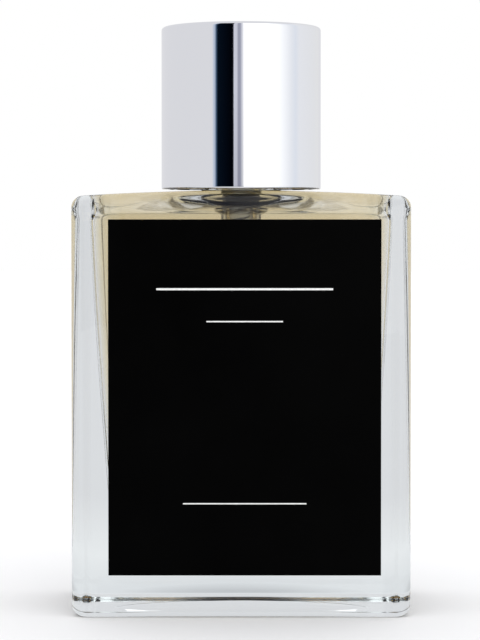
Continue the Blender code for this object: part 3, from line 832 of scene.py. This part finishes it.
def make_perfume(material):
    """The filling. It wets the glass and the pump: it reaches a hair into both, so no air shows between."""
    wet = WETTING
    tail_floor = TAIL_FLOOR + TAIL_OVERLAP
    housing = [
        (PASSAGE_RADIUS, tail_floor),
        (TAIL_RADIUS - wet, tail_floor),
        (TAIL_RADIUS - wet, HOUSING_STEP_FLOOR - TAIL_TAPER),
        (HOUSING_LOWER_RADIUS - wet, HOUSING_STEP_FLOOR),
        (HOUSING_LOWER_RADIUS - wet, HOUSING_STEP_TOP - HOUSING_TAPER),
        (HOUSING_RADIUS - wet, HOUSING_STEP_TOP),
        (HOUSING_RADIUS - wet, FILL_LEVEL + MENISCUS_RISE),
    ]
    rings = [at_height(oval_ring(r, r), z) for r, z in housing]
    fill_turn = math.acos((FILL_LEVEL - CAVITY_CEILING) / (DOME_TOP - CAVITY_CEILING))
    wall = dome_ring(fill_turn, wet)
    wall = wall[:, 0], wall[:, 1]
    collar = oval_ring(HOUSING_RADIUS, HOUSING_RADIUS)
    for share in (0.03, 0.08, 0.2, 0.4, 0.6, 0.8, 0.92):
        climb = MENISCUS_RISE * (1 - min(share / MENISCUS_SHARE, 1.0)) ** 2
        rings.append(at_height(between(collar, wall, share), FILL_LEVEL + climb))
    turns = [fill_turn + (math.pi / 2 - fill_turn) * i / 8 for i in range(9)]
    rings += [dome_ring(turn, wet) for turn in turns]
    foot = rings[-1][:, 0], rings[-1][:, 1]
    ceiling = CAVITY_CEILING + wet
    edge = cavity_section(CAVITY_CEILING, wet)
    rings += spread_between(foot, edge, ceiling)
    rings.append(at_height(edge, ceiling))
    rings += cavity_rings(cavity_heights()[1:], wet)
    perfume = joined_rings("perfume_filling", rings[::-1])
    smooth(perfume.data, 50)
    perfume.data.materials.append(material)
    return perfume


def make_label(film, ink):
    """The label, glued on the front face, and thin plain rules printed on it."""
    bpy.ops.mesh.primitive_cube_add(size=1)
    label = bpy.context.object
    label.name = "label_film"
    front = -HALF_DEPTH - LABEL_GAP - LABEL_THICKNESS + LABEL_INSET
    back = -HALF_DEPTH + WETTING
    label.scale = (LABEL_WIDTH, back - front, LABEL_HEIGHT)
    label.location = (LABEL_CENTRE[0], (front + back) / 2, LABEL_CENTRE[1])
    bpy.ops.object.transform_apply(location=True, rotation=True, scale=True)
    bevel = label.modifiers.new("Cut edge", "BEVEL")
    bevel.width = LABEL_EDGE
    bevel.segments = 2
    label = baked(label)
    smooth(label.data, 40)
    label.data.materials.append(film)

    work = bmesh.new()
    for z, width, height in RULES:
        made = bmesh.ops.create_cube(work, size=1)
        bmesh.ops.scale(work, verts=made["verts"], vec=(width, RULE_THICKNESS, height))
        bmesh.ops.translate(work, verts=made["verts"], vec=(LABEL_CENTRE[0], front, z))
    mesh = bpy.data.meshes.new("label_rules")
    work.to_mesh(mesh)
    work.free()
    rules = make_object("label_rules", mesh)
    rules.data.materials.append(ink)
    return label, rules


def make_pump_body(plastic, rubber, steel, white):
    """What stands still in the neck: gasket, housing, stem guide and ball."""
    gasket_profile = [
        (FLANGE_RADIUS, GASKET_TOP),
        (FLANGE_RADIUS, GASKET_FLOOR),
        (BORE_RADIUS, GASKET_FLOOR),
        (BORE_RADIUS, GASKET_TOP),
    ]
    gasket = turned_piece("gasket_ring", gasket_profile, SOFT_EDGE, rubber)
    housing_profile = [
        (FLANGE_RADIUS, FLANGE_TOP),
        (FLANGE_RADIUS, FLANGE_FLOOR),
        (HOUSING_RADIUS, FLANGE_FLOOR),
        (HOUSING_RADIUS, HOUSING_STEP_TOP),
        (HOUSING_LOWER_RADIUS, HOUSING_STEP_TOP - HOUSING_TAPER),
        (HOUSING_LOWER_RADIUS, HOUSING_STEP_FLOOR),
        (TAIL_RADIUS, HOUSING_STEP_FLOOR - TAIL_TAPER),
        (TAIL_RADIUS, TAIL_FLOOR),
        (TUBE_RADIUS + FIT_GAP / 2, TAIL_FLOOR),
        (TUBE_RADIUS + FIT_GAP / 2, TUBE_SOCKET_TOP),
        (PASSAGE_RADIUS, TUBE_SOCKET_TOP),
        (PASSAGE_RADIUS, CAGE_FLOOR - CAGE_TAPER),
        (CAGE_RADIUS, CAGE_FLOOR),
        (CAGE_RADIUS, SPRING_SEAT),
        (CHAMBER_RADIUS, SPRING_SEAT),
        (CHAMBER_RADIUS, FLANGE_TOP),
    ]
    housing = turned_piece("pump_chamber", housing_profile, HOUSING_EDGE, plastic)
    guide_radius = CHAMBER_RADIUS - FIT_GAP
    guide_profile = [
        (guide_radius, TURRET_TOP),
        (guide_radius, GUIDE_FLOOR),
        (STEM_RADIUS + FIT_GAP, GUIDE_FLOOR),
        (STEM_RADIUS + FIT_GAP, TURRET_TOP),
    ]
    guide = turned_piece("stem_bush", guide_profile, SOFT_EDGE, white)
    bpy.ops.mesh.primitive_uv_sphere_add(
        segments=48, ring_count=24, radius=BALL_RADIUS, location=(0, 0, CAGE_FLOOR + BALL_RADIUS + FIT_GAP)
    )
    ball = bpy.context.object
    ball.name = "inlet_ball"
    ball.data.shade_smooth()
    ball.data.materials.append(steel)
    return gasket, housing, guide, ball


def tube_line(count=60):
    """The dip tube's line: straight down from the pump, then bending gently to one side."""
    points = []
    for i in range(count + 1):
        z = TUBE_TOP + (TUBE_FLOOR - TUBE_TOP) * i / count
        share = max(TUBE_STRAIGHT_FLOOR - z, 0.0) / (TUBE_STRAIGHT_FLOOR - TUBE_FLOOR)
        points.append(Vector((TUBE_BEND * share**2, 0.0, z)))
    return points


def make_dip_tube(plastic):
    """An extruded tube with its bore open at both ends, cut square."""
    points = tube_line()
    sides = 40
    outer, inner = [], []
    for i, point in enumerate(points):
        ahead = (points[min(i + 1, len(points) - 1)] - points[max(i - 1, 0)]).normalized()
        across = Vector((0, 1, 0)).cross(ahead).normalized()
        turns = [2 * math.pi * k / sides for k in range(sides)]
        ring = [across * math.cos(a) + Vector((0, 1, 0)) * math.sin(a) for a in turns]
        outer.append([point + d * TUBE_RADIUS for d in ring])
        inner.append([point + d * TUBE_BORE_RADIUS for d in ring])
    tube = joined_rings("draw_tube", outer + inner[::-1] + [outer[0]], ends=False)
    work = bmesh.new()
    work.from_mesh(tube.data)
    bmesh.ops.remove_doubles(work, verts=work.verts, dist=1e-7)
    bmesh.ops.recalc_face_normals(work, faces=work.faces)
    work.to_mesh(tube.data)
    work.free()
    smooth(tube.data, 50)
    tube.data.materials.append(plastic)
    return tube


def make_spring(steel, points_each_turn=40):
    """The return spring: a helix between the seat and the piston, with a closed turn at each end."""
    low = SPRING_SEAT + SPRING_WIRE_RADIUS + FIT_GAP
    high = PISTON_FLOOR - SPRING_WIRE_RADIUS - FIT_GAP
    closed_rise = 2.4 * SPRING_WIRE_RADIUS
    curve = bpy.data.curves.new("spring_coil", "CURVE")
    curve.dimensions = "3D"
    curve.bevel_depth = SPRING_WIRE_RADIUS
    curve.bevel_resolution = 4
    curve.use_fill_caps = True
    count = SPRING_TURNS * points_each_turn
    spline = curve.splines.new("POLY")
    spline.points.add(count)
    for i in range(count + 1):
        turn = i / points_each_turn
        middle_share = min(max((turn - 1) / (SPRING_TURNS - 2), 0.0), 1.0)
        end_share = min(turn, 1.0) + min(max(turn - (SPRING_TURNS - 1), 0.0), 1.0)
        z = low + end_share * closed_rise + middle_share * (high - low - 2 * closed_rise)
        angle = 2 * math.pi * turn
        spline.points[i].co = (SPRING_RADIUS * math.cos(angle), SPRING_RADIUS * math.sin(angle), z, 1.0)
    spring = baked(make_object("spring_coil", curve))
    smooth(spring.data, 60)
    spring.data.materials.clear()
    spring.data.materials.append(steel)
    return spring


def make_plunger(plastic, white):
    """What the button drives down: the hollow stem, and the waisted piston on it."""
    stem_profile = [
        (STEM_RADIUS, STEM_TOP),
        (STEM_RADIUS, STEM_FLOOR),
        (STEM_BORE_RADIUS, STEM_FLOOR),
        (STEM_BORE_RADIUS, STEM_TOP),
    ]
    stem = turned_piece("stem_tube", stem_profile, MOULDED_EDGE, white, steps=64)
    waist = PISTON_RADIUS - PISTON_WAIST_DEPTH
    middle = (PISTON_FLOOR + PISTON_TOP) / 2
    piston_profile = [
        (PISTON_RADIUS, PISTON_TOP),
        (waist, middle + PISTON_WAIST_HALF),
        (waist, middle - PISTON_WAIST_HALF),
        (PISTON_RADIUS, PISTON_FLOOR),
        (STEM_RADIUS + FIT_GAP / 2, PISTON_FLOOR),
        (STEM_RADIUS + FIT_GAP / 2, PISTON_TOP),
    ]
    piston = turned_piece("piston_seal", piston_profile, FINE_EDGE, plastic, steps=96)
    return stem, piston


def make_ferrule_and_collar(aluminium):
    """The drawn ferrule, hooked under the glass lip, and the turned collar over it."""
    bore = LIP_RADIUS + FIT_GAP
    outside = bore + FERRULE_WALL
    plate_floor = FLANGE_TOP + FIT_GAP
    plate_top = plate_floor + FERRULE_WALL
    lip_floor = NECK_TOP - LIP_HEIGHT
    ferrule_profile = [
        (FERRULE_HOLE_RADIUS, plate_top),
        (outside - FERRULE_WALL, plate_top),
        (outside, plate_top - FERRULE_WALL),
        (outside, lip_floor),
        (FERRULE_CRIMP_RADIUS + FERRULE_WALL, FERRULE_FLOOR),
        (FERRULE_CRIMP_RADIUS, FERRULE_FLOOR),
        (FERRULE_CRIMP_RADIUS, FERRULE_FLOOR + FERRULE_WALL),
        (bore, lip_floor + FERRULE_WALL),
        (bore, plate_floor),
        (FERRULE_HOLE_RADIUS, plate_floor),
    ]
    ferrule = turned_piece("crimp_shell", ferrule_profile, MOULDED_EDGE, aluminium)
    groove_half = 2 * COLLAR_GROOVE_DEPTH
    collar_profile = [
        (COLLAR_RADIUS, COLLAR_TOP),
        (COLLAR_RADIUS, COLLAR_GROOVE_HEIGHT + groove_half),
        (COLLAR_RADIUS - COLLAR_GROOVE_DEPTH, COLLAR_GROOVE_HEIGHT),
        (COLLAR_RADIUS, COLLAR_GROOVE_HEIGHT - groove_half),
        (COLLAR_RADIUS, COLLAR_FLOOR),
        (COLLAR_BORE_RADIUS, COLLAR_FLOOR),
        (COLLAR_BORE_RADIUS, COLLAR_LEDGE),
        (COLLAR_MOUTH_RADIUS, COLLAR_LEDGE),
        (COLLAR_MOUTH_RADIUS, COLLAR_TOP),
    ]
    collar = turned_piece("collar_sleeve", collar_profile, COLLAR_EDGE, aluminium)
    return ferrule, collar


def make_button(aluminium, white):
    """The spray button with its finger dish, skirt and stem socket, and the nozzle in its front."""
    skirt_bore = BUTTON_RADIUS - BUTTON_SKIRT
    dish = [
        (share * BUTTON_RADIUS, BUTTON_TOP - depth * BUTTON_DISH) for share, depth in BUTTON_DISH_CURVE
    ]
    below = softened(
        [
            (BUTTON_RADIUS, BUTTON_TOP - 2 * BUTTON_ROUND),
            (BUTTON_RADIUS, BUTTON_FLOOR),
            (skirt_bore, BUTTON_FLOOR),
            (skirt_bore, BUTTON_CEILING),
            (BUTTON_HUB_RADIUS, BUTTON_CEILING),
            (BUTTON_HUB_RADIUS, BUTTON_HUB_FLOOR),
            (STEM_RADIUS + FIT_GAP / 2, BUTTON_HUB_FLOOR),
            (STEM_RADIUS + FIT_GAP / 2, STEM_TOP + FIT_GAP),
            (0.0, STEM_TOP + FIT_GAP),
        ],
        MOULDED_EDGE,
        ring=False,
    )
    edge = arc(BUTTON_RADIUS - BUTTON_ROUND, BUTTON_TOP - BUTTON_ROUND, BUTTON_ROUND, 90, 0)
    button = turned("button_shell", dish + edge + below, ring=False)
    cut_end = BUTTON_RADIUS + NOZZLE_CUT_REACH
    bpy.ops.mesh.primitive_cylinder_add(
        vertices=64,
        radius=NOZZLE_RADIUS + FIT_GAP,
        depth=cut_end - NOZZLE_BACK,
        location=(0, -(cut_end + NOZZLE_BACK) / 2, NOZZLE_HEIGHT),
        rotation=(math.pi / 2, 0, 0),
    )
    button = boolean(button, bpy.context.object, "DIFFERENCE")
    button.data.materials.clear()
    button.data.materials.append(aluminium)
    face = BUTTON_RADIUS - NOZZLE_RECESS
    nozzle_profile = [
        (NOZZLE_RADIUS, face),
        (NOZZLE_RADIUS, NOZZLE_BACK + FIT_GAP),
        (NOZZLE_HOLE_RADIUS, NOZZLE_BACK + FIT_GAP),
        (NOZZLE_HOLE_RADIUS, face - NOZZLE_MOUTH_DEPTH),
        (NOZZLE_MOUTH_RADIUS, face),
    ]
    nozzle = turned_piece("nozzle_disc", nozzle_profile, FINE_EDGE, white, steps=64)
    nozzle.rotation_euler = (math.pi / 2, 0, 0)
    nozzle.location = (0, 0, NOZZLE_HEIGHT)
    return button, nozzle


def make_cap(chrome, white):
    """The plated shell and the moulded liner inside it, with ribs out to its wall."""
    bore = CAP_RADIUS - CAP_WALL
    shell = turned(
        "cap_mirror",
        [
            (0.0, CAP_TOP),
            (0.5 * CAP_RADIUS, CAP_TOP),
            (CAP_RADIUS - CAP_ROUND - CAP_TOP_MARGIN, CAP_TOP),
            *arc(CAP_RADIUS - CAP_ROUND, CAP_TOP - CAP_ROUND, CAP_ROUND, 90, 0, steps=12),
            (CAP_RADIUS, CAP_TOP - CAP_ROUND - CAP_TOP_MARGIN),
            (CAP_RADIUS, (CAP_TOP + CAP_FLOOR) / 2),
            (CAP_RADIUS, CAP_FLOOR + CAP_RIM_ROUND + CAP_RIM_MARGIN),
            *arc(CAP_RADIUS - CAP_RIM_ROUND, CAP_FLOOR + CAP_RIM_ROUND, CAP_RIM_ROUND, 0, -90),
            (bore + CAP_BORE_CHAMFER, CAP_FLOOR),
            (bore, CAP_FLOOR + CAP_BORE_CHAMFER),
            (bore, CAP_TOP - CAP_WALL),
            (0.0, CAP_TOP - CAP_WALL),
        ],
        steps=256,
        ring=False,
        sharp_angle=40,
    )
    shell.data.materials.append(chrome)
    liner_radius = bore - FIT_GAP
    liner_top = CAP_TOP - CAP_WALL - FIT_GAP
    ceiling = liner_top - LINER_CEILING
    liner = turned(
        "liner_moulding",
        softened(
            [
                (0.0, liner_top),
                (liner_radius, liner_top),
                (liner_radius, LINER_FLOOR),
                (liner_radius - LINER_WALL, LINER_FLOOR),
                (liner_radius - LINER_WALL, ceiling),
                (SLEEVE_RADIUS, ceiling),
                (SLEEVE_RADIUS, SLEEVE_FLOOR),
                (SLEEVE_BORE_RADIUS + SLEEVE_LEAD_IN[0], SLEEVE_FLOOR),
                (SLEEVE_BORE_RADIUS, SLEEVE_FLOOR + SLEEVE_LEAD_IN[1]),
                (SLEEVE_BORE_RADIUS, ceiling),
                (0.0, ceiling),
            ],
            MOULDED_EDGE,
            ring=False,
        ),
        ring=False,
    )
    rib_start = (SLEEVE_RADIUS + SLEEVE_BORE_RADIUS) / 2
    rib_end = liner_radius - LINER_WALL / 2
    rib_floor = SLEEVE_FLOOR + RIB_LIFT
    rib_top = ceiling + LINER_CEILING / 2
    for i in range(LINER_RIBS):
        angle = 2 * math.pi * (i + 0.5) / LINER_RIBS
        middle = (rib_start + rib_end) / 2
        bpy.ops.mesh.primitive_cube_add(
            size=1,
            location=(middle * math.cos(angle), middle * math.sin(angle), (rib_floor + rib_top) / 2),
            rotation=(0, 0, angle),
            scale=(rib_end - rib_start, RIB_THICKNESS, rib_top - rib_floor),
        )
        liner = boolean(liner, bpy.context.object, "UNION")
    liner.data.materials.clear()
    liner.data.materials.append(white)
    return shell, liner


def matt_sheet(name, code):
    """A sheet of matt paper, lit from all round."""
    material, tree, output, place = new_material(name)
    surface(tree, output, {"Base Color": srgb(code), "Roughness": 0.9})
    return material


def glowing(name, colour, strength):
    """A material that only gives light, with what is needed to vary it."""
    material, tree, output, place = new_material(name)
    light = node(tree, "Emission", {"Color": colour, "Strength": strength})
    tree.links.new(light.outputs["Emission"], output.inputs["Surface"])
    return material, tree, light, place


def seen_only_by(obj, camera=False, glossy=False, transmission=False, diffuse=False):
    obj.visible_camera = camera
    obj.visible_glossy = glossy
    obj.visible_transmission = transmission
    obj.visible_diffuse = diffuse
    obj.visible_shadow = False
    obj.visible_volume_scatter = False


def card_light(name, stops, strength, fall=None):
    """Light off a card: its colour by azimuth, and its strength, if it falls off, by height."""
    material, tree, light, place = glowing(name, (1, 1, 1, 1), strength)
    split = node(tree, "SeparateXYZ", {"Vector": place}).outputs
    behind = node(tree, "Math", {0: split["Y"], 1: -1.0}, operation="MULTIPLY")
    turn = node(tree, "Math", {0: split["X"], 1: behind.outputs["Value"]}, operation="ARCTAN2")
    first, last = stops[0][0], stops[-1][0]
    span = (math.radians(first), math.radians(last))
    share = graded(tree, turn.outputs["Value"], span, (0.0, 1.0))
    places = [((azimuth - first) / (last - first), srgb(code)) for azimuth, code in stops]
    tree.links.new(ramp(tree, share, places), light.inputs["Color"])
    if fall:
        result = (fall[0] * strength, fall[1] * strength)
        falling = graded(tree, split["Z"], (0.0, FALL_HEIGHT), result)
        tree.links.new(falling, light.inputs["Strength"])
    return material


def standing_card(name, stops, material, steps=24):
    """A bowed card round the bottle, from its first stop's azimuth to its last's."""
    start, end = stops[0][0], stops[-1][0]
    points, faces = [], []
    for i in range(steps + 1):
        angle = math.radians(start + (end - start) * i / steps)
        x, y = CARD_RADIUS * math.sin(angle), -CARD_RADIUS * math.cos(angle)
        points += [(x, y, CARD_FOOT), (x, y, CARD_TOP)]
    for i in range(steps):
        a = 2 * i
        faces.append((a, a + 2, a + 3, a + 1))
    mesh = bpy.data.meshes.new(name)
    mesh.from_pydata(points, [], faces)
    card = make_object(name, mesh)
    card.data.materials.append(material)
    return card


def floor_disc(name, height, material):
    bpy.ops.mesh.primitive_circle_add(
        vertices=96, radius=STUDIO_RADIUS, fill_type="NGON", location=(0, 0, height)
    )
    disc = bpy.context.object
    disc.name = name
    disc.data.materials.append(material)
    return disc


def make_floor():
    """A white floor, and under it a glowing floor that only the glass reflects and shows, with a shadow
    painted round the bottle's foot.
    """
    floor = floor_disc("studio_floor", 0.0, matt_sheet("matt_floor", "#F2F2F2"))
    floor.visible_transmission = False
    floor.visible_glossy = False

    # This floor glows, and its colour is a painted shadow: darker near the bottle's foot, fading out to the
    # room's colour
    material, tree, light, place = glowing("floor_in_glass_painted_shadow", srgb(ROOM_COLOUR), ROOM_STRENGTH)
    reach = node(tree, "VectorMath", {0: place}, operation="LENGTH").outputs["Value"]
    share = node(tree, "Math", {0: reach, 1: SHADE_REACH}, operation="DIVIDE").outputs["Value"]
    shade = [(position, srgb(code)) for position, code in FLOOR_PAINTED_SHADOW]
    tree.links.new(ramp(tree, share, shade), light.inputs["Color"])
    painted_shadow_floor = floor_disc("painted_shadow_floor", -SHADE_DEPTH, material)
    seen_only_by(painted_shadow_floor, glossy=True, transmission=True)


def make_studio():
    """A white dome, and round the bottle a soft white panel, a grey card and a narrow black flag."""
    make_floor()
    bpy.ops.mesh.primitive_uv_sphere_add(segments=48, ring_count=24, radius=STUDIO_RADIUS)
    dome = bpy.context.object
    dome.name = "studio_dome"
    dome.data.materials.append(glowing("white_backdrop", (1, 1, 1, 1), 1.0)[0])
    seen_only_by(dome, camera=True)

    panel_light = card_light("soft_panel", PANEL_STOPS, 1.35)
    panel = standing_card("soft_panel", PANEL_STOPS, panel_light, steps=48)
    seen_only_by(panel, glossy=True, transmission=True, diffuse=True)
    grey_light = card_light("grey_card", GREY_STOPS, 1.0, fall=(0.55, 1.0))
    grey = standing_card("grey_card", GREY_STOPS, grey_light)
    seen_only_by(grey, glossy=True, transmission=True)
    flag = standing_card("black_flag", FLAG_STOPS, card_light("flag_cloth", FLAG_STOPS, 1.0))
    seen_only_by(flag, glossy=True, transmission=True)

    world = bpy.data.worlds.new("studio_light")
    world.use_nodes = True
    background = world.node_tree.nodes["Background"]
    background.inputs["Color"].default_value = srgb(ROOM_COLOUR)
    background.inputs["Strength"].default_value = ROOM_STRENGTH
    bpy.context.scene.world = world

    bpy.ops.object.light_add(type="SUN", location=(0, 0, 1))
    top = bpy.context.object
    top.name = "overhead_light"
    top.data.angle = math.radians(100)
    top.data.energy = 1.3
    top.visible_glossy = False


def make_camera():
    data = bpy.data.cameras.new("camera")
    data.sensor_width = 36.0
    data.lens = LENS_MM
    data.shift_y = FRAME_SHIFT
    data.clip_start = 0.01
    data.clip_end = 10.0
    camera = bpy.data.objects.new("camera", data)
    bpy.context.scene.collection.objects.link(camera)
    camera.location = (EYE_OFFSET, -EYE_DISTANCE, EYE_HEIGHT)
    camera.rotation_euler = (math.radians(90 - TILT_DOWN), 0, 0)
    bpy.context.scene.camera = camera


def settle(pieces, body):
    """The pieces ride on a body and stand for these CAD nodes."""
    for piece, cad_node in pieces:
        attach(piece, body)
        if cad_node:
            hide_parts(cad_node)


def main():
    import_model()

    glass = flint_glass()
    perfume = straw_perfume()
    film = black_label_film()
    ink = white_label_ink()
    chrome = chrome_plate()
    aluminium = bright_anodised_aluminium()
    steel = spring_steel()
    white = white_polypropylene()
    milky = natural_polyethylene()
    rubber = gasket_rubber()

    settle([(make_glass(glass), "glass_bottle")], "bottle")
    settle([(make_perfume(perfume), "perfume")], "bottle")
    label, rules = make_label(film, ink)
    settle([(label, "front_label"), (rules, None)], "bottle")

    gasket, housing, guide, ball = make_pump_body(milky, rubber, steel, white)
    settle([(gasket, "neck_gasket")], "bottle")
    settle([(housing, "pump_housing")], "bottle")
    settle([(make_dip_tube(milky), "dip_tube")], "bottle")
    settle([(guide, "stem_guide")], "bottle")
    spring = make_spring(steel)
    settle([(ball, "check_ball"), (spring, "return_spring")], "bottle")
    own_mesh(spring)
    ferrule, collar = make_ferrule_and_collar(aluminium)
    settle([(ferrule, "crimp_ferrule"), (collar, "collar")], "bottle")
    stem, piston = make_plunger(milky, white)
    settle([(stem, "pump_stem")], "plunger")
    settle([(piston, "piston")], "plunger")
    button, nozzle = make_button(aluminium, white)
    settle([(button, "spray_button")], "button")
    settle([(nozzle, "nozzle_insert")], "button")
    shell, liner = make_cap(chrome, white)
    settle([(shell, "cap_shell")], "bottle")
    settle([(liner, "cap_liner")], "bottle")

    make_studio()
    make_camera()
    bpy.context.scene.view_settings.view_transform = "Standard"


main()
